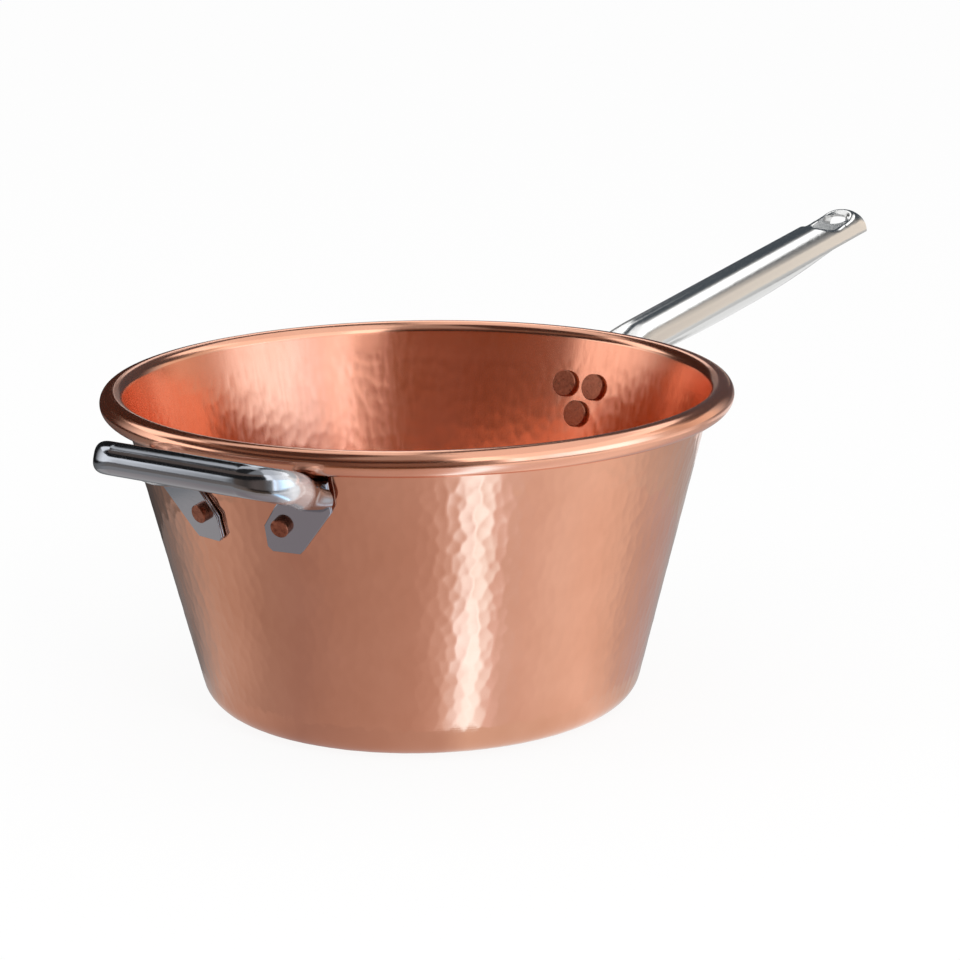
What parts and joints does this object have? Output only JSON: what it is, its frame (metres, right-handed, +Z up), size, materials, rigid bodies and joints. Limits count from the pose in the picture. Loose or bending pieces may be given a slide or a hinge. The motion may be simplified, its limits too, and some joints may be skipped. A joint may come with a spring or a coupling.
{
  "type": "jam pan",
  "caption": "Tapered hammered copper pan with a rolled rim, a long hollow steel handle and a steel helper grip, all held by copper rivets.",
  "frame": {"origin": "centre of the base, on the surface the pan rests on", "axes": "+Z up, +X towards the tip of the long handle, +Y to its left"},
  "size_m": [0.536, 0.28, 0.1694],
  "materials": {
    "copper": "satin hammered copper, polished on the rim bead",
    "rivet_copper": "dull copper",
    "handle_steel": "polished stainless steel",
    "grip_steel": "polished stainless steel"
  },
  "bodies": {
    "root": {"pan_body": "copper", "handle_foot": "handle_steel", "handle_upper_shell": "handle_steel", "handle_lower_shell": "handle_steel", "handle_rivets": "rivet_copper", "helper_grip": "grip_steel", "grip_rivets": "rivet_copper"}
  },
  "joints": []
}
